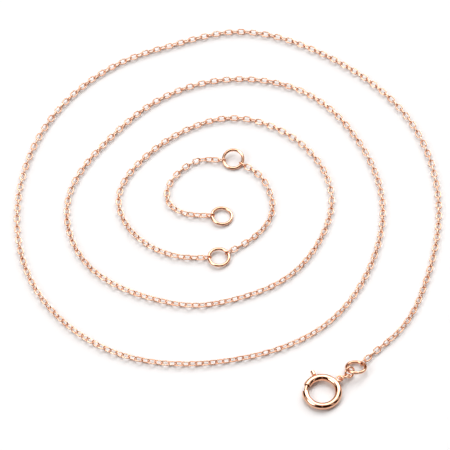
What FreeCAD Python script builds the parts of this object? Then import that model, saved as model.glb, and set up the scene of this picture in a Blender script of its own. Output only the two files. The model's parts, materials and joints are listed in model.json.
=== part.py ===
"""Adjustable cable-chain necklace, laid out in a flat spiral. Millimetres, +Z up, resting on Z = 0.

The chain is 476 loose oval links. They are kept in sections of ten, one section to a node. Neighbouring
sections, rings and the clasp hang in one another with a small gap and turn about the wire they hang on.
"""
import FreeCAD, Part
import math
import os
from FreeCAD import Matrix, Vector

# --- chain -------------------------------------------------------------------------------------
PITCH = 1.0388               # distance from one link to the next
WIRE = 0.20                  # diameter of the link wire
GAP = 0.045                  # play between two pieces that hang in one another
LINK_LENGTH = PITCH + 2 * WIRE + GAP
LINK_WIDTH = 1.02
MAIN_LINKS = 432
EXTENSION_LINKS = 22
LINKS_PER_SECTION = 10       # links left over go to a run's first and last sections
REST_ROLL = 15.0             # one link lies nearly flat and the next stands nearly upright
ROLL_SWAY = 5.0              # slow twist of the chain about that roll
ROLL_SWAY_LINKS = 37.0
SETTLE_LINKS = 6.0           # links that it takes from standing in a ring to lying at rest

# --- rings -------------------------------------------------------------------------------------
RING_WIRE = 0.50
EXTENSION_RING_RADIUS = 1.58  # to the middle of the wire
END_RING_RADIUS = 1.58
JUMP_RING_RADIUS = 1.45
CONNECTOR_WIRE = 0.34
CONNECTOR_RADIUS = 0.80
EXTENSION_RING_LEANS = (1.0, 17.0)  # degrees that each ring's far side is lifted

# --- spring-ring clasp, drawn flat with its eyelet on +X, then set down where it lies -------------
CLASP_RADIUS = 2.50          # to the middle of the tube
TUBE_RADIUS = 0.55
TUBE_BORE = 0.42
MOUTH_START = 115.0          # degrees: the opening in the tube that the tongue closes
MOUTH_END = 140.0
STOP_START = 250.0           # crimp in the tube that the spring pushes against
STOP_END = 260.0
TONGUE_RADIUS = 0.28
TONGUE_TIP = 148.0
TONGUE_TAIL = 58.0
KNOB_ANGLE = 72.0
TRIGGER_TRAVEL = 40.0
KNOB_STEM_RADIUS = 0.13
KNOB_HEAD_RADIUS = 0.33
KNOB_HEAD_FOOT = 0.60        # from the middle of the tube
KNOB_HEAD_TOP = 1.40
KNOB_HEAD_ROUNDING = 0.08
SLOT_WIDTH = 0.36
SLOT_MARGIN = 4.0            # degrees of slot beyond the knob's travel at each end
SPRING_RADIUS = 0.30
SPRING_WIRE = 0.10
SPRING_TURNS = 19
SPRING_END_MARGIN = 2.2      # degrees from each end of the spring to what it pushes on
EYELET_WIRE = 0.28
EYELET_RADIUS = 0.46
EYELET_SOLDER = 0.10         # how far the eyelet is let into the tube

# --- where it lies -------------------------------------------------------------------------------
CLASP_SPOT = (14.2, -33.8)
CLASP_HEADING = 40.0         # direction from the clasp's middle to its eyelet
CLASP_LIFT_HEADING = 75.0    # side of the clasp that the connector rings lift
CLASP_TILT = 2.6
# The connector rings lie loosely, the second propped on the first. Each has the spot of its middle, the
# height of its lowest point over the surface, its lean from flat and the heading that its face leans to.
CONNECTOR_RINGS = (((17.65, -31.20), 0.0, 54.0, 115.0),
                   ((18.45, -30.55), 0.2, 58.0, -47.0))
JUMP_RING_SPOT = (19.45, -29.60)
JUMP_RING_LEAN = 23.0
JUMP_RING_LEAN_HEADING = 90.0
CHAIN_HEADING = 50.0         # direction in which the chain leaves the jump ring
# One point for each twelfth of a turn, from the clasp inwards, three turns in all.
MAIN_ROUTE = [(26.5, -22.5), (30.5, -14.5), (33.5, 2.5), (29, 19), (17, 31), (0.5, 36.5), (-8.5, 34),
              (-16, 31), (-28.5, 19), (-33.5, 2.5), (-30, -15), (-16.5, -27), (0.5, -28), (14.5, -22),
              (22.5, -10), (24.5, 2.5), (21, 14), (13, 23.5), (0.5, 26.5), (-11, 22.5), (-19.5, 14),
              (-25.5, 2.5), (-22, -10.5), (-11, -17), (-5, -18), (0.5, -17), (9.5, -12.5), (14.5, -5.5),
              (16.5, 2.5), (14, 10.5), (8.5, 16), (0.5, 18.5), (-7, 16), (-13.5, 10.5), (-17.5, 2.5),
              (-14, -5.5), (-6.5, -9), (-2, -9)]
EXTENSION_HEADINGS = (32.0, 185.0)  # direction in which each extension leaves its ring
EXTENSION_ROUTES = ([(3, -6), (5.5, -3.5), (7, 0), (6.5, 4), (5, 7), (1, 10)],
                    [(-4.5, 10), (-7.5, 8), (-9.5, 5), (-9.5, 1.5), (-7, -0.5), (-1.5, -1)])

UP = Vector(0, 0, 1)
ORIGIN = Vector(0, 0, 0)


def heading(degrees):
    """Level unit vector in a direction, counted anticlockwise from +X."""
    return Vector(math.cos(math.radians(degrees)), math.sin(math.radians(degrees)), 0)


def leaning(lean, toward):
    """Unit vector that leans from straight up by some degrees, towards a heading."""
    return UP * math.cos(math.radians(lean)) + heading(toward) * math.sin(math.radians(lean))


def turned(vector, axis, degrees):
    """A vector turned about an axis through the origin."""
    return FreeCAD.Rotation(axis, degrees).multVec(vector)


def unit(vector):
    """The vector at length one."""
    return vector * (1.0 / vector.Length)


def placed(shape, origin, along, normal):
    """Copy of a shape drawn in the XY plane, with its +X along one vector and its +Z along another."""
    across = normal.cross(along)
    matrix = Matrix(along.x, across.x, normal.x, origin.x,
                    along.y, across.y, normal.y, origin.y,
                    along.z, across.z, normal.z, origin.z,
                    0, 0, 0, 1)
    copy = shape.copy()
    copy.transformShape(matrix)
    return copy


def torus_arc(major, minor, start, end):
    """Part of a torus in the XY plane, from one angle to another."""
    shape = Part.makeTorus(major, minor, ORIGIN, UP, 0, 360, end - start)
    shape.rotate(ORIGIN, UP, start)
    return shape


def wire_ring(radius, wire):
    """Closed round ring in the XY plane; radius is to the middle of its wire."""
    return Part.makeTorus(radius, wire / 2)


# --- the link and the runs of chain -----------------------------------------------------------

def make_link():
    """Oval link in the XY plane, long way along X: two straight sides and two half rings."""
    bend = (LINK_WIDTH - WIRE) / 2
    reach = (LINK_LENGTH - LINK_WIDTH) / 2
    pieces = []
    for side in (-1, 1):
        foot = Vector(-reach, side * bend, 0)
        pieces.append(Part.makeCylinder(WIRE / 2, 2 * reach, foot, Vector(1, 0, 0)))
    for start, shift in ((-90, reach), (90, -reach)):
        half = torus_arc(bend, WIRE / 2, start, start + 180)
        half.translate(Vector(shift, 0, 0))
        pieces.append(half)
    return pieces[0].multiFuse(pieces[1:])


def chain_height(roll):
    """Height of the chain's middle line when one of two neighbouring links is at this roll."""
    lean = math.radians(roll)
    return (LINK_WIDTH - WIRE) / 2 * max(abs(math.sin(lean)), abs(math.cos(lean))) + WIRE / 2


STANDING_HEIGHT = chain_height(90)
LYING_HEIGHT = chain_height(REST_ROLL - ROLL_SWAY)


def roll_square_to(wire, along):
    """Roll, in degrees, of a link that lies along one vector and stands square to a wire."""
    side = UP.cross(along)
    return math.degrees(math.atan2(wire.dot(side), wire.dot(UP))) % 180


class Run:
    """A run of chain from one ring to the next."""

    def __init__(self, ring_point, leave, route, count):
        """Lay the joints between the links on a level curve, one pitch apart."""
        start = ring_point - leave * ((RING_WIRE + GAP) / 2)
        level = [Vector(start.x, start.y, 0)] + [Vector(x, y, 0) for x, y in route]
        curve = Part.BSplineCurve()
        curve.interpolate(Points=level, InitialTangent=leave, FinalTangent=unit(level[-1] - level[-2]),
                          Scale=False)
        self.joints = curve.toShape().discretize(Distance=PITCH)[:count + 1]
        assert len(self.joints) == count + 1, "route too short for its links"
        self.count = count
        self.arrive = unit(self.joints[-1] - self.joints[-2])
        self.ring_point = self.joints[-1] - self.arrive * ((RING_WIRE + GAP) / 2)

    def roll_links(self, first_wire, last_wire):
        """Turn each link about the chain, square to the wires at both ends.

        The chain lies level and touches Z = 0 with the links that lean the least from upright.
        """
        first = roll_square_to(first_wire, unit(self.joints[1] - self.joints[0]))
        last = roll_square_to(last_wire, self.arrive) - 90
        rolls = []
        for i in range(self.count):
            rest = REST_ROLL + ROLL_SWAY * math.sin(2 * math.pi * i / ROLL_SWAY_LINKS)
            near_start = max(0.0, 1 - i / SETTLE_LINKS)
            near_end = max(0.0, 1 - (self.count - 1 - i) / SETTLE_LINKS)
            rolls.append(rest + (first - rest) * near_start + (last - rest) * near_end)
        heights = [max(chain_height(roll), LYING_HEIGHT) for roll in rolls[:1] + rolls]
        self.joints = [Vector(joint.x, joint.y, height) for joint, height in zip(self.joints, heights)]
        self.ring_point.z = heights[-1]
        self.links = []
        for i, roll in enumerate(rolls):
            along = unit(self.joints[i + 1] - self.joints[i])
            side = unit(UP.cross(along))
            lean = math.radians(roll - 90 * (i % 2))
            normal = along.cross(side) * math.cos(lean) + side * math.sin(lean)
            self.links.append(((self.joints[i] + self.joints[i + 1]) * 0.5, along, normal))

    def sections(self, link):
        """One compound of loose links for each section."""
        sections = []
        for k in range(self.count // LINKS_PER_SECTION):
            frames = self.links[self.cut(k):self.cut(k + 1)]
            sections.append(Part.makeCompound([placed(link, *frame) for frame in frames]))
        return sections

    def cut(self, section):
        """Number of links before the end of a section."""
        if section == 0:
            return 0
        if section == self.count // LINKS_PER_SECTION:
            return self.count
        return section * LINKS_PER_SECTION + self.count % LINKS_PER_SECTION // 2

    def pivot(self, section):
        """Wire that the next section hangs on: the far end of this section's last link."""
        middle, along, normal = self.links[self.cut(section) - 1]
        return middle + along * ((LINK_LENGTH - WIRE) / 2), unit(normal.cross(along))


# --- the clasp ----------------------------------------------------------------------------------

def make_clasp_body():
    """Bent tube with a mouth, a slot for the knob's stem and a crimp that stops the spring."""
    tube = torus_arc(CLASP_RADIUS, TUBE_RADIUS, MOUTH_END, 360 + MOUTH_START)
    spring_bore = torus_arc(CLASP_RADIUS, TUBE_BORE, STOP_END, 360 + MOUTH_START)
    tip_socket = torus_arc(CLASP_RADIUS, TUBE_BORE, MOUTH_END, STOP_START)
    slot_start = KNOB_ANGLE - TRIGGER_TRAVEL - SLOT_MARGIN
    slot_sweep = TRIGGER_TRAVEL + 2 * SLOT_MARGIN
    base = Vector(0, 0, -SLOT_WIDTH / 2)
    slot = Part.makeCylinder(CLASP_RADIUS + 2 * TUBE_RADIUS, SLOT_WIDTH, base, UP, slot_sweep)
    slot = slot.cut(Part.makeCylinder(CLASP_RADIUS, SLOT_WIDTH, base, UP))
    slot.rotate(ORIGIN, UP, slot_start)
    return tube.cut(spring_bore).cut(tip_socket).cut(slot)


def make_tongue():
    """Bent wire that closes the mouth and slides back into the tube."""
    return torus_arc(CLASP_RADIUS, TONGUE_RADIUS, TONGUE_TAIL, TONGUE_TIP)


def make_knob(tongue):
    """Thumb knob on a stem that stands on the tongue and passes through the slot."""
    stem = Part.makeCylinder(KNOB_STEM_RADIUS, KNOB_HEAD_FOOT, Vector(CLASP_RADIUS, 0, 0), Vector(1, 0, 0))
    head = Part.makeCylinder(KNOB_HEAD_RADIUS, KNOB_HEAD_TOP - KNOB_HEAD_FOOT,
                             Vector(CLASP_RADIUS + KNOB_HEAD_FOOT, 0, 0), Vector(1, 0, 0))
    rims = [edge for edge in head.Edges if isinstance(edge.Curve, Part.Circle)]
    head = head.makeFillet(KNOB_HEAD_ROUNDING, rims)
    knob = head.fuse(stem)
    knob.rotate(ORIGIN, UP, KNOB_ANGLE)
    return knob.cut(tongue)


def make_spring():
    """Coil spring along the tube's bore. Each half turn is half a ring, and they meet end to end."""
    start = STOP_END - 360 + SPRING_END_MARGIN
    end = TONGUE_TAIL - SPRING_END_MARGIN
    step = (end - start) / (2 * SPRING_TURNS)
    halves = []
    for i in range(2 * SPRING_TURNS):
        side = 1 if i % 2 == 0 else -1
        near = heading(start + step * i) * (CLASP_RADIUS - side * SPRING_RADIUS)
        far = heading(start + step * (i + 1)) * (CLASP_RADIUS + side * SPRING_RADIUS)
        chord = far - near
        half = torus_arc(chord.Length / 2, SPRING_WIRE / 2, 0, 180)
        # Drawn from +X to -X over +Y; set up so that it arches above or below the tube's plane.
        halves.append(placed(half, (near + far) * 0.5, unit(chord), unit(chord).cross(UP * side)))
    return halves[0].multiFuse(halves[1:])


def make_eyelet():
    """Small closed ring soldered to the outside of the tube, in the clasp's own plane."""
    ring = wire_ring(EYELET_RADIUS, EYELET_WIRE)
    ring.translate(Vector(EYELET_MIDDLE, 0, 0))
    return ring.cut(Part.makeTorus(CLASP_RADIUS, TUBE_RADIUS))


EYELET_MIDDLE = CLASP_RADIUS + TUBE_RADIUS - EYELET_SOLDER + EYELET_RADIUS + EYELET_WIRE / 2


def threading(ring, other):
    """Where a ring's wire passes through another ring, and the wire's direction there."""
    middle, normal, radius = ring
    other_middle, other_normal, other_radius = other
    across = unit(normal.cross(other_normal))
    toward = across.cross(normal)
    offset = (other_middle - middle).dot(other_normal) / (radius * toward.dot(other_normal))
    for side in (-1, 1):
        radial = toward * offset + across * (side * math.sqrt(1 - offset ** 2))
        point = middle + radial * radius
        if (point - other_middle).Length < other_radius:
            return point, normal.cross(radial)


def hung_ring(point, arrive, leave, lean):
    """Ring between two runs of chain: its frame, and its wire's direction where each run hangs on it."""
    flat_middle = point + arrive * EXTENSION_RING_RADIUS
    leave_point = flat_middle + leave * EXTENSION_RING_RADIUS
    hinge = unit(leave_point - point)
    hinge = hinge if hinge.x > 0 else hinge * -1
    return {"middle": point + turned(flat_middle - point, hinge, lean), "leave_point": leave_point,
            "along": hinge, "normal": turned(UP, hinge, lean),
            "arrive_wire": turned(UP.cross(arrive), hinge, lean),
            "leave_wire": turned(UP.cross(leave), hinge, lean)}


def add_run(nodes, pivots, run, link, name):
    """Add a run's sections and the joints between them."""
    sections = run.sections(link)
    for number, section in enumerate(sections, start=1):
        nodes["%s_section_%02d" % (name, number)] = section
        if number < len(sections):
            pivots["%s_joint_%02d" % (name, number)] = run.pivot(number)


def build():
    """All nodes by name, and each joint's point and axis by name."""
    nodes = {}
    pivots = {}
    link = make_link()

    # The clasp rests on the surface at one side and on the connector rings at the other.
    tilt_axis = heading(CLASP_LIFT_HEADING - 90)
    height = TUBE_RADIUS + CLASP_RADIUS * math.sin(math.radians(CLASP_TILT))
    clasp_middle = Vector(CLASP_SPOT[0], CLASP_SPOT[1], height)
    clasp_normal = turned(UP, tilt_axis, CLASP_TILT)
    clasp_along = turned(heading(CLASP_HEADING), tilt_axis, CLASP_TILT)
    tongue = make_tongue()
    clasp = {"clasp_body": make_clasp_body(), "clasp_eyelet": make_eyelet(), "clasp_tongue": tongue,
             "clasp_thumb_knob": make_knob(tongue), "clasp_spring": make_spring()}
    for name, shape in clasp.items():
        nodes[name] = placed(shape, clasp_middle, clasp_along, clasp_normal)
    pivots["clasp_trigger"] = (clasp_middle, clasp_normal)

    # The eyelet, two connector rings and the jump ring hang in one another.
    rings = [(clasp_middle + clasp_along * EYELET_MIDDLE, clasp_normal, EYELET_RADIUS)]
    for number, (spot, lift, lean, toward) in enumerate(CONNECTOR_RINGS, start=1):
        normal = leaning(lean, toward)
        height = lift + CONNECTOR_WIRE / 2 + CONNECTOR_RADIUS * math.sin(math.radians(lean))
        middle = Vector(*spot, height)
        rings.append((middle, normal, CONNECTOR_RADIUS))
        nodes["connector_ring_%d" % number] = placed(wire_ring(CONNECTOR_RADIUS, CONNECTOR_WIRE),
                                                     middle, unit(UP.cross(normal)), normal)
    leave = heading(CHAIN_HEADING)
    jump_normal = leaning(JUMP_RING_LEAN, JUMP_RING_LEAN_HEADING)
    radial = unit(leave - jump_normal * jump_normal.dot(leave))
    ring_point = Vector(*JUMP_RING_SPOT, 0) + radial * JUMP_RING_RADIUS
    ring_point.z = STANDING_HEIGHT
    jump_middle = ring_point - radial * JUMP_RING_RADIUS
    ring_tangent = jump_normal.cross(radial)
    nodes["jump_ring"] = placed(wire_ring(JUMP_RING_RADIUS, RING_WIRE), jump_middle, radial, jump_normal)
    rings.append((jump_middle, jump_normal, JUMP_RING_RADIUS))
    pivots["clasp_swing"] = threading(rings[0], rings[1])
    pivots["connector_1_swing"] = threading(rings[2], rings[1])
    pivots["connector_2_swing"] = threading(rings[3], rings[2])
    pivots["jump_ring_swing"] = (ring_point, ring_tangent)

    # The main run goes in to the first extension ring, and each extension on to the next ring.
    run = Run(ring_point, leave, MAIN_ROUTE, MAIN_LINKS)
    leave_wire = ring_tangent
    name = "chain"
    for number in (1, 2):
        leave = heading(EXTENSION_HEADINGS[number - 1])
        ring = hung_ring(run.ring_point, run.arrive, leave, EXTENSION_RING_LEANS[number - 1])
        run.roll_links(leave_wire, ring["arrive_wire"])
        add_run(nodes, pivots, run, link, name)
        raised = Vector(0, 0, run.ring_point.z)
        nodes["extension_ring_%d" % number] = placed(wire_ring(EXTENSION_RING_RADIUS, RING_WIRE),
                                                     ring["middle"] + raised, ring["along"], ring["normal"])
        pivots["extension_ring_%d_swing" % number] = (run.ring_point, ring["arrive_wire"])
        pivots["extension_%d_swing" % number] = (ring["leave_point"] + raised, ring["leave_wire"])
        leave_wire = ring["leave_wire"]
        name = "extension_%d" % number
        run = Run(ring["leave_point"], leave, EXTENSION_ROUTES[number - 1], EXTENSION_LINKS)

    # The end ring hangs in the last link and rests on the surface at its far side.
    end_wire = UP.cross(run.arrive)
    run.roll_links(leave_wire, end_wire)
    add_run(nodes, pivots, run, link, name)
    drop = (run.ring_point.z - RING_WIRE / 2) / (2 * END_RING_RADIUS)
    along = unit(run.arrive * math.sqrt(1 - drop ** 2) - UP * drop)
    nodes["end_ring"] = placed(wire_ring(END_RING_RADIUS, RING_WIRE),
                               run.ring_point + along * END_RING_RADIUS, along, unit(along.cross(end_wire)))
    pivots["end_ring_swing"] = (run.ring_point, end_wire)
    return nodes, pivots


def centred(nodes, pivots):
    """Shift everything so that the middle of the whole necklace's base is the origin."""
    box = Part.makeCompound(list(nodes.values())).optimalBoundingBox(False, False)
    shift = Vector(-box.Center.x, -box.Center.y, -box.ZMin)
    for shape in nodes.values():
        shape.translate(shift)
    return nodes, {name: (point + shift, axis) for name, (point, axis) in pivots.items()}


nodes, pivots = centred(*build())
os.makedirs("parts", exist_ok=True)
for name, shape in nodes.items():
    assert shape.isValid(), name
    shape.exportStep("parts/%s.step" % name)
    print("%-24s %3d solids %8.4f mm3" % (name, len(shape.Solids), shape.Volume))
box = Part.makeCompound(list(nodes.values())).optimalBoundingBox(False, False)
print("whole necklace %.2f x %.2f x %.2f mm" % (box.XLength, box.YLength, box.ZLength))
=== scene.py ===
"""Adjustable rose-gold cable-chain necklace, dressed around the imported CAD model. Metres throughout."""
import json
import math
import random

import bpy
import numpy as np
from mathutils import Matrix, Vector


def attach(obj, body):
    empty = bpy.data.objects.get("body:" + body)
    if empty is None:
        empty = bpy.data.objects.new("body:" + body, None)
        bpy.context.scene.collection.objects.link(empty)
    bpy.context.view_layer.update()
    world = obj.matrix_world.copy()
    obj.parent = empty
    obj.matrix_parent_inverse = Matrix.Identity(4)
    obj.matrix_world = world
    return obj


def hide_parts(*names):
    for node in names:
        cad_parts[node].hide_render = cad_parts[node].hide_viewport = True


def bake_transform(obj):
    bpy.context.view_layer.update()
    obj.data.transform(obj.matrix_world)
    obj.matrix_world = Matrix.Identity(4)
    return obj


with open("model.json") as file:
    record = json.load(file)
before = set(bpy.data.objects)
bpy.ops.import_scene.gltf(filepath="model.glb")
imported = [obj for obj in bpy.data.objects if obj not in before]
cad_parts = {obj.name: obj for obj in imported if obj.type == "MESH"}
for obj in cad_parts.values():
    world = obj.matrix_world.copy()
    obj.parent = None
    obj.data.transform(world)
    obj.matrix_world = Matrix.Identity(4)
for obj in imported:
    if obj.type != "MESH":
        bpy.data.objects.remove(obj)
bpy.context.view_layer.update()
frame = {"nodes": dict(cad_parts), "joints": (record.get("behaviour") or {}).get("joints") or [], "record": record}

MM = 0.001
SEED = 7
random.seed(SEED)

# Sizes of the finely drawn pieces, in millimetres: the same as the CAD solids that they stand for.
LINK_WIDTH = 1.02
LINK_LENGTH = 1.484
LINK_WIRE = 0.20
RING_WIRE = 0.50
CONNECTOR_WIRE = 0.34
EYELET_WIRE = 0.28
EYELET_RADIUS = 0.46
EYELET_REACH = 3.55           # from the clasp's middle to the eyelet's
CLASP_RADIUS = 2.50
TUBE_RADIUS = 0.55
TUBE_BORE = 0.42
# Degrees are counted round the clasp from its eyelet.
MOUTH = (115.0, 140.0)
SLOT = (28.0, 76.0)
SLOT_WIDTH = 0.36
TONGUE_RADIUS = 0.28
TONGUE = (58.0, 148.0)
KNOB_ANGLE = 72.0
SPRING_RADIUS = 0.30
SPRING_WIRE = 0.10
SPRING_TURNS = 19
SPRING = (-97.8, 55.8)


# --- mesh helpers --------------------------------------------------------------------------------

SAME_POINT_DIGITS = 4         # points of a CAD mesh that agree to this many decimals of a mm are one
LEVEL_LIMIT = 0.01            # a normal this near to straight up has no level direction of its own
UP = np.array([0.0, 0.0, 1.0])


def grid_faces(rows, columns, wrap_rows, wrap_columns, start=0):
    """Quads over a grid of points that are numbered row by row."""
    i, j = np.meshgrid(np.arange(rows if wrap_rows else rows - 1),
                       np.arange(columns if wrap_columns else columns - 1), indexing="ij")
    i, j = i.ravel(), j.ravel()
    a, b = (i + 1) % rows, (j + 1) % columns
    return start + np.stack([i * columns + j, a * columns + j, a * columns + b, i * columns + b], axis=1)


def add_piece(name, points, faces, body, nodes, material, attributes=None, sharp=None):
    """Object from points in millimetres of the row frame; it rides on a body and stands for CAD nodes."""
    mesh = bpy.data.meshes.new(name)
    mesh.from_pydata((np.asarray(points) * MM).tolist(), [], [list(map(int, f)) for f in faces])
    mesh.polygons.foreach_set("use_smooth", [True] * len(mesh.polygons))
    for key, values in (attributes or {}).items():
        layer = mesh.attributes.new(key, "FLOAT", "POINT")
        layer.data.foreach_set("value", np.asarray(values, np.float32))
    if sharp:
        mesh.set_sharp_from_angle(angle=math.radians(sharp))
    mesh.materials.append(material)
    mesh.update()
    piece = bpy.data.objects.new(name, mesh)
    bpy.context.scene.collection.objects.link(piece)
    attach(piece, body)
    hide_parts(*nodes)
    return piece


def solids_of(node):
    """Points (mm) and triangles of each separate solid in a CAD node."""
    mesh = frame["nodes"][node].data
    mesh.calc_loop_triangles()
    points = np.array([v.co for v in mesh.vertices], float) / MM
    triangles = np.array([t.vertices for t in mesh.loop_triangles], int)
    unique, merged = np.unique(np.round(points, SAME_POINT_DIGITS), axis=0, return_inverse=True)
    triangles = merged.reshape(-1)[triangles]
    label = np.arange(len(unique))
    while True:
        lowest = label[triangles].min(axis=1)
        new = label.copy()
        for corner in range(3):
            np.minimum.at(new, triangles[:, corner], lowest)
        new = new[new]
        if (new == label).all():
            break
        label = new
    owner = label[triangles[:, 0]]
    return [(unique, triangles[owner == key]) for key in np.unique(owner)]


def frame_of(points, triangles):
    """Middle, longest direction and plane normal of a thin closed shape, from its surface."""
    a, b, c = (points[triangles[:, k]] for k in range(3))
    area = np.linalg.norm(np.cross(b - a, c - a), axis=1) / 2
    centre = (area[:, None] * (a + b + c) / 3).sum(0) / area.sum()
    spread = np.zeros((3, 3))
    for p in (a + b) / 2, (b + c) / 2, (c + a) / 2:
        d = p - centre
        spread += (area[:, None, None] * d[:, :, None] * d[:, None, :]).sum(0)
    values, vectors = np.linalg.eigh(spread)
    normal = vectors[:, 0]
    along = vectors[:, 2]
    if normal[2] < 0:
        normal = -normal
    return centre, along, normal


def set_down(points, centre, along, normal):
    """Points drawn in the XY plane, moved so that +X lies along one direction and +Z along another."""
    across = np.cross(normal, along)
    return (centre + np.outer(points[:, 0], along) + np.outer(points[:, 1], across)
            + np.outer(points[:, 2], normal))


def wire_loop(path, tangent, wire, around):
    """Grid of points round a closed flat path in the XY plane; wire gives the diameter at each point."""
    phi = np.arange(around) * 2 * np.pi / around
    out = np.stack([tangent[:, 1], -tangent[:, 0], np.zeros(len(tangent))], axis=1)
    radius = np.asarray(wire)[:, None, None] / 2
    grid = path[:, None, :] + radius * (np.cos(phi)[None, :, None] * out[:, None, :]
                                        + np.sin(phi)[None, :, None] * UP[None, None, :])
    return grid.reshape(-1, 3)


# --- node helpers --------------------------------------------------------------------------------

def maths(tree, operation, *inputs):
    """Output of a maths node whose inputs are numbers or other nodes' outputs."""
    node = tree.nodes.new("ShaderNodeMath")
    node.operation = operation
    for socket, value in zip(node.inputs, inputs):
        if isinstance(value, (int, float)):
            socket.default_value = value
        else:
            tree.links.new(value, socket)
    return node.outputs[0]


def metal(name):
    """New metallic material, its node tree and its shader."""
    material = bpy.data.materials.new(name)
    material.use_nodes = True
    shader = material.node_tree.nodes["Principled BSDF"]
    shader.inputs["Metallic"].default_value = 1.0
    return material, material.node_tree, shader


# --- materials -----------------------------------------------------------------------------------

SHADE_SHARE = 0.35            # how far a link's own shade moves its tint
SCRATCHES_PER_GRAIN = 22
SCRATCH_STRETCH = (1.0, 0.12, 0.35)
SCRATCH_TURN = (0.3, 0.2, 0.7)
SCRATCHED_ROUGHNESS = 2.2     # times that of the clean polish
SEAM_COLOUR = (0.90, 0.70, 0.56, 1)
SEAM_ROUGHNESS = 0.18         # added where the solder seam is


def rose_gold(name, light, deep, roughness, grain, scratch_depth):
    """Polished rose gold: mottled tint, fine polishing scratches and a paler, duller solder seam."""
    material, tree, shader = metal(name)
    nodes, links = tree.nodes, tree.links
    shader.inputs["Specular IOR Level"].default_value = 0.6
    coordinates = nodes.new("ShaderNodeTexCoord")

    mottle = nodes.new("ShaderNodeTexNoise")
    mottle.inputs["Scale"].default_value = grain
    mottle.inputs["Detail"].default_value = 4
    links.new(coordinates.outputs["Object"], mottle.inputs["Vector"])
    tint = nodes.new("ShaderNodeValToRGB")
    tint.color_ramp.elements[0].position = 0.3
    tint.color_ramp.elements[0].color = (*deep, 1)
    tint.color_ramp.elements[1].position = 0.7
    tint.color_ramp.elements[1].color = (*light, 1)
    shade = nodes.new("ShaderNodeAttribute")
    shade.attribute_name = "shade"
    shaded = maths(tree, "MULTIPLY_ADD", shade.outputs["Fac"], SHADE_SHARE, mottle.outputs["Fac"])
    links.new(shaded, tint.inputs["Fac"])
    seam = nodes.new("ShaderNodeAttribute")
    seam.attribute_name = "seam"
    paler = nodes.new("ShaderNodeMix")
    paler.data_type = "RGBA"
    links.new(seam.outputs["Fac"], paler.inputs["Factor"])
    links.new(tint.outputs["Color"], paler.inputs["A"])
    paler.inputs["B"].default_value = SEAM_COLOUR
    links.new(paler.outputs["Result"], shader.inputs["Base Color"])

    stretch = nodes.new("ShaderNodeMapping")
    stretch.inputs["Scale"].default_value = SCRATCH_STRETCH
    stretch.inputs["Rotation"].default_value = SCRATCH_TURN
    links.new(coordinates.outputs["Object"], stretch.inputs["Vector"])
    scratches = nodes.new("ShaderNodeTexNoise")
    scratches.inputs["Scale"].default_value = grain * SCRATCHES_PER_GRAIN
    scratches.inputs["Detail"].default_value = 3
    links.new(stretch.outputs["Vector"], scratches.inputs["Vector"])
    dull = nodes.new("ShaderNodeMapRange")
    dull.inputs["From Min"].default_value = 0.35
    dull.inputs["From Max"].default_value = 0.75
    dull.inputs["To Min"].default_value = roughness
    dull.inputs["To Max"].default_value = roughness * SCRATCHED_ROUGHNESS
    links.new(scratches.outputs["Fac"], dull.inputs["Value"])
    dull_all = maths(tree, "MULTIPLY_ADD", seam.outputs["Fac"], SEAM_ROUGHNESS, dull.outputs["Result"])
    links.new(dull_all, shader.inputs["Roughness"])

    relief = nodes.new("ShaderNodeBump")
    relief.inputs["Strength"].default_value = 0.6
    relief.inputs["Distance"].default_value = scratch_depth
    links.new(scratches.outputs["Fac"], relief.inputs["Height"])
    links.new(relief.outputs["Normal"], shader.inputs["Normal"])
    return material


def spring_steel():
    """Drawn wire: cool grey with a fine mottle of tint and roughness."""
    material, tree, shader = metal("drawn_spring_wire")
    nodes, links = tree.nodes, tree.links
    coordinates = nodes.new("ShaderNodeTexCoord")
    lines = nodes.new("ShaderNodeTexNoise")
    lines.inputs["Scale"].default_value = 26000
    links.new(coordinates.outputs["Object"], lines.inputs["Vector"])
    tint = nodes.new("ShaderNodeValToRGB")
    tint.color_ramp.elements[0].color = (0.42, 0.41, 0.42, 1)
    tint.color_ramp.elements[1].color = (0.68, 0.68, 0.70, 1)
    links.new(lines.outputs["Fac"], tint.inputs["Fac"])
    links.new(tint.outputs["Color"], shader.inputs["Base Color"])
    dull = nodes.new("ShaderNodeMapRange")
    dull.inputs["To Min"].default_value = 0.22
    dull.inputs["To Max"].default_value = 0.45
    links.new(lines.outputs["Fac"], dull.inputs["Value"])
    links.new(dull.outputs["Result"], shader.inputs["Roughness"])
    return material


GOLD_LIGHT = (0.940, 0.580, 0.405)
GOLD_DEEP = (0.800, 0.430, 0.275)
chain_gold = rose_gold("rose_gold_chain", GOLD_LIGHT, GOLD_DEEP, 0.10, 900, 1.5e-6)
ring_gold = rose_gold("rose_gold_rings", GOLD_LIGHT, GOLD_DEEP, 0.06, 500, 1.0e-6)
clasp_gold = rose_gold("rose_gold_clasp", GOLD_LIGHT, GOLD_DEEP, 0.05, 400, 1.0e-6)
spring_wire = spring_steel()
body_of = {node: body for body, nodes in frame["record"]["behaviour"]["bodies"].items() for node in nodes}
joints = {joint["name"]: joint for joint in frame["joints"]}


# --- chain ---------------------------------------------------------------------------------------

LINK_AROUND = 12
BEND_STEPS = 12
STRAIGHT_STEPS = 3
LINK_SEAM_REACH = 0.2         # mm along the wire to either side of the seam
LINK_SEAM_SWELL = 0.03        # share by which the solder thickens the wire


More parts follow.
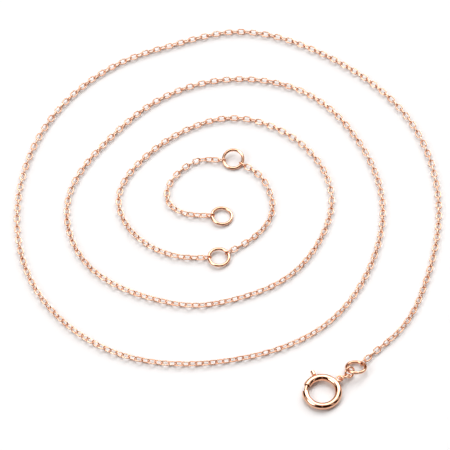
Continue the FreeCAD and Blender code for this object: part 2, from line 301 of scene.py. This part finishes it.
def link_path():
    """Middle line of the oval wire in the XY plane, its direction, and the seam's strength at each point."""
    bend = (LINK_WIDTH - LINK_WIRE) / 2
    reach = (LINK_LENGTH - LINK_WIDTH) / 2
    path, tangent = [], []
    for side in (1, -1):
        for k in range(BEND_STEPS):
            t = -math.pi / 2 + math.pi * k / BEND_STEPS
            path.append((side * (reach + bend * math.cos(t)), side * bend * math.sin(t), 0))
            tangent.append((-side * math.sin(t), side * math.cos(t), 0))
        for k in range(STRAIGHT_STEPS):
            path.append((side * (reach - 2 * reach * k / STRAIGHT_STEPS), side * bend, 0))
            tangent.append((-side, 0, 0))
    path, tangent = np.array(path), np.array(tangent)
    middle = np.array([0.0, bend, 0.0])
    seam = np.clip(1 - np.linalg.norm(path - middle, axis=1) / LINK_SEAM_REACH, 0, 1)
    return path, tangent, seam


path, tangent, seam = link_path()
LINK_POINTS = wire_loop(path, tangent, LINK_WIRE * (1 + LINK_SEAM_SWELL * seam), LINK_AROUND)
LINK_FACES = grid_faces(len(path), LINK_AROUND, True, True)
LINK_SEAM = np.repeat(seam, LINK_AROUND)

for node in sorted(n for n in frame["nodes"] if "_section_" in n):
    points, faces, shades = [], [], []
    for number, (corners, triangles) in enumerate(solids_of(node)):
        centre, along, normal = frame_of(corners, triangles)
        along = along if random.random() < 0.5 else -along
        points.append(set_down(LINK_POINTS, centre, along, normal))
        faces.append(LINK_FACES + number * len(LINK_POINTS))
        shades.append(np.full(len(LINK_POINTS), random.uniform(-0.5, 0.5)))
    links_here = len(points)
    add_piece(node + "_links", np.concatenate(points), np.concatenate(faces), body_of[node], [node],
              chain_gold,
              {"shade": np.concatenate(shades), "seam": np.tile(LINK_SEAM, links_here)})


# --- rings ---------------------------------------------------------------------------------------

RING_STEPS = 120
RING_AROUND = 28
RING_SEAM_REACH = 0.14
RING_UNEVENNESS = 0.008       # share by which polishing has thinned the wire, more at three places


def ring_points(radius, wire, seam_angle, uneven=RING_UNEVENNESS):
    """Points of a round ring in the XY plane with a soldered seam, and the seam's strength at each."""
    t = np.arange(RING_STEPS) * 2 * np.pi / RING_STEPS
    path = np.stack([radius * np.cos(t), radius * np.sin(t), np.zeros(RING_STEPS)], axis=1)
    direction = np.stack([-np.sin(t), np.cos(t), np.zeros(RING_STEPS)], axis=1)
    away = np.abs((t - math.radians(seam_angle) + np.pi) % (2 * np.pi) - np.pi) * radius
    near = np.clip(1 - away / RING_SEAM_REACH, 0, 1)
    thickness = wire * (1 - uneven * (1 + np.sin(3 * t + 0.7)) / 2)
    return wire_loop(path, direction, thickness, RING_AROUND), np.repeat(near, RING_AROUND)


RING_FACES = grid_faces(RING_STEPS, RING_AROUND, True, True)
for node, wire, seam_angle in (("extension_ring_1", RING_WIRE, 120), ("extension_ring_2", RING_WIRE, 250),
                               ("end_ring", RING_WIRE, 75), ("jump_ring", RING_WIRE, 100),
                               ("connector_ring_1", CONNECTOR_WIRE, 95),
                               ("connector_ring_2", CONNECTOR_WIRE, 200)):
    (corners, triangles), = solids_of(node)
    centre, _, normal = frame_of(corners, triangles)
    level = np.cross(UP, normal)
    tilt = np.linalg.norm(level)
    along = level / tilt if tilt > LEVEL_LIMIT else np.array([1.0, 0, 0])
    outer = np.linalg.norm((corners[np.unique(triangles)] - centre), axis=1).max()
    drawn, near = ring_points(outer - wire / 2, wire, seam_angle)
    add_piece(node + "_wire", set_down(drawn, centre, along, normal), RING_FACES, body_of[node], [node],
              ring_gold, {"seam": near, "shade": np.zeros(len(near))})


# --- clasp ---------------------------------------------------------------------------------------
# Drawn in its own frame, with the middle of the ring at the origin and the eyelet on +X.

clasp_middle = np.array(joints["clasp_trigger"]["pos_m"]) / MM
clasp_normal = np.array(joints["clasp_trigger"]["axis"])
(eyelet_corners, eyelet_triangles), = solids_of("clasp_eyelet")
clasp_along = frame_of(eyelet_corners, eyelet_triangles)[0] - clasp_middle
clasp_along -= clasp_along.dot(clasp_normal) * clasp_normal
clasp_along /= np.linalg.norm(clasp_along)


def in_clasp(points):
    """Points drawn in the clasp's own frame, in the row frame."""
    return set_down(np.asarray(points, float), clasp_middle, clasp_along, clasp_normal)


def add_clasp_piece(name, drawn, body, node, sharp):
    """Polished piece of the clasp, from its points and faces in the clasp's own frame."""
    points, faces = drawn
    plain = np.zeros(len(points))
    add_piece(name, in_clasp(points), faces, body, [node], clasp_gold,
              {"shade": plain, "seam": plain}, sharp)


def on_tube(theta, phi, radius):
    """Point at theta round the clasp and phi round its tube, both in radians; phi 0 faces outwards."""
    reach = CLASP_RADIUS + radius * np.cos(phi)
    return np.stack([reach * np.cos(theta), reach * np.sin(theta), radius * np.sin(phi)], axis=-1)


RIM = 0.045                   # rounding of the tube's ends at the mouth
SLOT_STEPS = 6


def tube_shell():
    """The bent tube with its bore, open at the mouth, and with the slot for the knob's stem."""
    slot_half = math.asin(SLOT_WIDTH / 2 / TUBE_RADIUS)
    start, end = MOUTH[1], 360 + MOUTH[0]
    low, high = 360 + SLOT[0], 360 + SLOT[1]
    thetas = np.concatenate([np.linspace(start, low, 90)[:-1], np.linspace(low, high, 24)[:-1],
                             np.linspace(high, end, 16)])
    rim_degrees = math.degrees(RIM / CLASP_RADIUS)
    thetas = np.unique(np.concatenate([thetas, [start + rim_degrees * k / 3 for k in range(1, 4)],
                                       [end - rim_degrees * k / 3 for k in range(1, 4)]]))
    phis = np.concatenate([np.linspace(-slot_half, slot_half, SLOT_STEPS + 1)[:-1],
                           np.linspace(slot_half, 2 * np.pi - slot_half, 37)[:-1]])
    rows, columns = len(thetas), len(phis)
    away = np.minimum(thetas - start, end - thetas) / rim_degrees
    rounding = RIM * (1 - np.sqrt(np.clip(1 - (1 - np.clip(away, 0, 1)) ** 2, 0, 1)))
    radians = np.radians(thetas)[:, None]
    outer = on_tube(*np.broadcast_arrays(radians, phis[None, :], (TUBE_RADIUS - rounding)[:, None]))
    inner = on_tube(*np.broadcast_arrays(radians, phis[None, :], np.full((rows, 1), TUBE_BORE)))
    points = np.concatenate([outer.reshape(-1, 3), inner.reshape(-1, 3)])
    middles = (thetas[1:] + thetas[:-1]) / 2
    open_rows = (middles > low) & (middles < high)
    open_columns = np.arange(columns) < SLOT_STEPS
    present = ~(open_rows[:, None] & open_columns[None, :])
    faces = []
    inside = rows * columns

    def at(i, j):
        return i * columns + j % columns

    for i in range(rows - 1):
        for j in range(columns):
            if not present[i, j]:
                continue
            a, b, c, d = at(i, j), at(i + 1, j), at(i + 1, j + 1), at(i, j + 1)
            faces.append((a, b, c, d))
            faces.append((inside + d, inside + c, inside + b, inside + a))
            if i == 0 or not present[i - 1, j]:
                faces.append((a, d, inside + d, inside + a))
            if i == rows - 2 or not present[i + 1, j]:
                faces.append((c, b, inside + b, inside + c))
            if not present[i, (j - 1) % columns]:
                faces.append((b, a, inside + a, inside + b))
            if not present[i, (j + 1) % columns]:
                faces.append((d, c, inside + c, inside + d))
    return points, faces


add_clasp_piece("clasp_tube", tube_shell(), "clasp", "clasp_body", sharp=40)


ROUNDING_STEPS = 5


def swept_rod(start, end, radius, rounding, steps, around):
    """Bent solid rod along the clasp's ring with rounded ends."""
    degree = math.radians(1) * CLASP_RADIUS
    rows = [(start + (end - start) * k / steps, radius) for k in range(1, steps)]
    for k in range(ROUNDING_STEPS + 1):
        turn = math.pi / 2 * k / ROUNDING_STEPS
        depth = rounding * (1 - math.cos(turn)) / degree
        size = radius - rounding + rounding * math.sin(turn)
        rows += [(start + depth, size), (end - depth, size)]
    rows.sort()
    phis = np.arange(around) * 2 * np.pi / around
    theta = np.radians([r[0] for r in rows])[:, None]
    size = np.array([r[1] for r in rows])[:, None]
    grid = on_tube(*np.broadcast_arrays(theta, phis[None, :], size)).reshape(-1, 3)
    faces = [tuple(f) for f in grid_faces(len(rows), around, False, True)]
    faces.append(tuple(range(around)))
    last = (len(rows) - 1) * around
    faces.append(tuple(last + k for k in reversed(range(around))))
    return grid, faces


tongue = swept_rod(*TONGUE, TONGUE_RADIUS, rounding=0.06, steps=60, around=24)
add_clasp_piece("clasp_tongue_rod", tongue, "clasp_slider", "clasp_tongue", sharp=50)


def turned_knob():
    """Lathe-turned knob on its stem, standing outwards from the tongue."""
    # Distance from the tube's middle line, and radius, up the stem, under the head and over its edge.
    profile = [(0.20, 0.13), (0.50, 0.13), (0.59, 0.135), (0.602, 0.17), (0.602, 0.25), (0.612, 0.295),
               (0.64, 0.322), (0.68, 0.330), (0.85, 0.330), (1.10, 0.330), (1.31, 0.330), (1.345, 0.323),
               (1.375, 0.302), (1.392, 0.265), (1.398, 0.20), (1.400, 0.10), (1.400, 0.0)]
    around = 32
    phis = np.arange(around) * 2 * np.pi / around
    rows = [np.stack([np.full(around, CLASP_RADIUS + x), r * np.cos(phis), r * np.sin(phis)], axis=1)
            for x, r in profile[:-1]]
    points = np.concatenate(rows + [np.array([[CLASP_RADIUS + profile[-1][0], 0, 0]])])
    faces = [tuple(f) for f in grid_faces(len(rows), around, False, True)]
    last = (len(rows) - 1) * around
    tip = len(points) - 1
    faces += [(last + (k + 1) % around, last + k, tip) for k in range(around)]
    faces = [tuple(reversed(f)) for f in faces]
    faces.append(tuple(range(around)))
    turn = math.radians(KNOB_ANGLE)
    c, s = math.cos(turn), math.sin(turn)
    return points @ np.array([[c, s, 0], [-s, c, 0], [0, 0, 1]]), faces


add_clasp_piece("clasp_knob", turned_knob(), "clasp_slider", "clasp_thumb_knob", sharp=60)


STEPS_PER_TURN = 20
SPRING_AROUND = 8


def coil_spring():
    """Round wire wound along the tube's bore."""
    steps, around = SPRING_TURNS * STEPS_PER_TURN, SPRING_AROUND
    s = np.linspace(0, 1, steps + 1)
    theta = np.radians(SPRING[0] + (SPRING[1] - SPRING[0]) * s)
    phi = np.pi + 2 * np.pi * SPRING_TURNS * s
    middle = on_tube(theta, phi, SPRING_RADIUS)
    direction = np.gradient(middle, axis=0)
    direction /= np.linalg.norm(direction, axis=1)[:, None]
    centre = on_tube(theta, phi, 0.0)
    out = middle - centre
    out -= (out * direction).sum(1)[:, None] * direction
    out /= np.linalg.norm(out, axis=1)[:, None]
    side = np.cross(direction, out)
    turn = np.arange(around) * 2 * np.pi / around
    grid = middle[:, None, :] + SPRING_WIRE / 2 * (np.cos(turn)[None, :, None] * out[:, None, :]
                                                   + np.sin(turn)[None, :, None] * side[:, None, :])
    faces = [tuple(f) for f in grid_faces(steps + 1, around, False, True)]
    faces.append(tuple(range(around)))
    faces.append(tuple(steps * around + k for k in reversed(range(around))))
    return grid.reshape(-1, 3), faces


points, faces = coil_spring()
spring_mesh = bpy.data.meshes.new("clasp_coil")
spring_mesh.from_pydata((in_clasp(points) * MM).tolist(), [], [list(map(int, f)) for f in faces])
spring_mesh.polygons.foreach_set("use_smooth", [True] * len(spring_mesh.polygons))
spring_mesh.materials.append(spring_wire)
coil = bpy.data.objects.new("clasp_coil", spring_mesh)
bpy.context.scene.collection.objects.link(coil)
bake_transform(coil)
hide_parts("clasp_spring")


# The eyelet's seam is where its foot is soldered to the tube.
points, near = ring_points(EYELET_RADIUS, EYELET_WIRE, seam_angle=180, uneven=0.0)
points = in_clasp(points + np.array([EYELET_REACH, 0, 0]))
add_piece("clasp_eyelet_ring", points, RING_FACES, "clasp", ["clasp_eyelet"],
          ring_gold, {"seam": near, "shade": np.zeros(len(near))})


# --- studio --------------------------------------------------------------------------------------

LOOK_AT = Vector((-0.5, -2.5, 0.0)) * MM
ELEVATION = math.radians(55)
DISTANCE = 424.05 * MM
LENS = 213.8
SENSOR_WIDTH = 36
CLIP = (0.01, 20)

camera_data = bpy.data.cameras.new("camera")
camera_data.lens = LENS
camera_data.sensor_width = SENSOR_WIDTH
camera_data.clip_start, camera_data.clip_end = CLIP
camera = bpy.data.objects.new("camera", camera_data)
bpy.context.scene.collection.objects.link(camera)
back = Vector((0, -math.cos(ELEVATION), math.sin(ELEVATION)))
camera.location = LOOK_AT + back * DISTANCE
camera.rotation_mode = "QUATERNION"
camera.rotation_quaternion = (-back).to_track_quat("-Z", "Y")
bpy.context.scene.camera = camera

FLOOR = 6.0                   # half its side
FLOOR_DROP = 0.00001          # keeps it just clear of the links that rest on it

floor_mesh = bpy.data.meshes.new("floor")
floor_mesh.from_pydata([(-FLOOR, -FLOOR, 0), (FLOOR, -FLOOR, 0), (FLOOR, FLOOR, 0), (-FLOOR, FLOOR, 0)], [],
                       [(0, 1, 2, 3)])
floor = bpy.data.objects.new("floor", floor_mesh)
floor.location.z = -FLOOR_DROP
bpy.context.scene.collection.objects.link(floor)
white = bpy.data.materials.new("white_table")
white.use_nodes = True
paper = white.node_tree.nodes["Principled BSDF"]
paper.inputs["Base Color"].default_value = (0.9, 0.9, 0.905, 1)
paper.inputs["Roughness"].default_value = 0.45
paper.inputs["Specular IOR Level"].default_value = 0.3
floor_mesh.materials.append(white)

world = bpy.data.worlds.new("studio")
bpy.context.scene.world = world
world.use_nodes = True
nodes, links = world.node_tree.nodes, world.node_tree.links
background = nodes["Background"]
background.inputs["Strength"].default_value = 1.0
direction = nodes.new("ShaderNodeTexCoord")


def patch(towards, inner, outer):
    """Socket that is 1 within an angle of a direction in the studio, and fades to 0 at a wider one."""
    dot = nodes.new("ShaderNodeVectorMath")
    dot.operation = "DOT_PRODUCT"
    links.new(direction.outputs["Generated"], dot.inputs[0])
    dot.inputs[1].default_value = Vector(towards).normalized()
    fade = nodes.new("ShaderNodeMapRange")
    fade.interpolation_type = "SMOOTHSTEP"
    fade.inputs["From Min"].default_value = math.cos(math.radians(outer))
    fade.inputs["From Max"].default_value = math.cos(math.radians(inner))
    links.new(dot.outputs["Value"], fade.inputs["Value"])
    return fade.outputs["Result"]


def toward(azimuth, elevation):
    """Direction in the studio: azimuth 0 is the camera's side (-Y), 90 is +X."""
    a, e = math.radians(azimuth), math.radians(elevation)
    return (math.sin(a) * math.cos(e), -math.cos(a) * math.cos(e), math.sin(e))


def blend_in(base, socket, colour):
    """World colour with another colour blended in where a patch is."""
    mix = nodes.new("ShaderNodeMix")
    mix.data_type = "RGBA"
    links.new(socket, mix.inputs["Factor"])
    if isinstance(base, tuple):
        mix.inputs["A"].default_value = base
    else:
        links.new(base, mix.inputs["A"])
    mix.inputs["B"].default_value = (*colour, 1)
    return mix.outputs["Result"]


def falling(value, middle, half, soft):
    """Socket that is 1 within half a width of a middle value and falls smoothly to 0 beyond it."""
    distance = maths(world.node_tree, "ABSOLUTE",
                     maths(world.node_tree, "SUBTRACT", value, math.radians(middle)))
    fade = nodes.new("ShaderNodeMapRange")
    fade.interpolation_type = "SMOOTHSTEP"
    fade.inputs["From Min"].default_value = math.radians(half + soft)
    fade.inputs["From Max"].default_value = math.radians(half)
    links.new(distance, fade.inputs["Value"])
    return fade.outputs["Result"]


parts = nodes.new("ShaderNodeSeparateXYZ")
links.new(direction.outputs["Generated"], parts.inputs[0])
front = maths(world.node_tree, "MULTIPLY", parts.outputs["Y"], -1.0)
azimuth = maths(world.node_tree, "ARCTAN2", parts.outputs["X"], front)
elevation = maths(world.node_tree, "ARCSINE", parts.outputs["Z"])


def panel(azimuths, elevations, soft=3.0):
    """Socket that is 1 on a panel of the studio's walls, given by its sides' azimuths and elevations."""
    across = falling(azimuth, sum(azimuths) / 2, (azimuths[1] - azimuths[0]) / 2, soft)
    upward = falling(elevation, sum(elevations) / 2, (elevations[1] - elevations[0]) / 2, soft)
    return maths(world.node_tree, "MULTIPLY", across, upward)


# The studio is a pale tent with a dim warm room round its foot, a softbox behind, two lamps and dark
# panels, which the polished wires mirror as short dark dashes. Azimuths and elevations are in degrees.
TENT = (0.70, 0.68, 0.66, 1)
ROOM = (0.17, 0.10, 0.065)
SOFTBOX = (3.3, 3.3, 3.3)
LAMP = (4.5, 4.5, 4.5)
DARK = (0.035, 0.014, 0.008)
DARK_PANELS = (((3, 46), (3, 96)), ((-46, -3), (3, 96)), ((62, 82), (16, 66)), ((98, 118), (12, 50)),
               ((-128, -100), (14, 60)))
sky = blend_in(TENT, panel((-180, 180), (-10, 14), soft=6), ROOM)
sky = blend_in(sky, patch(toward(180, 62), 22, 27), SOFTBOX)
for azimuths, elevations in DARK_PANELS:
    sky = blend_in(sky, panel(azimuths, elevations), DARK)
sky = blend_in(sky, patch(toward(-62, 45), 13, 18), LAMP)
sky = blend_in(sky, patch(toward(145, 38), 12, 16), LAMP)
links.new(sky, background.inputs["Color"])

bpy.context.scene.view_settings.view_transform = "Standard"
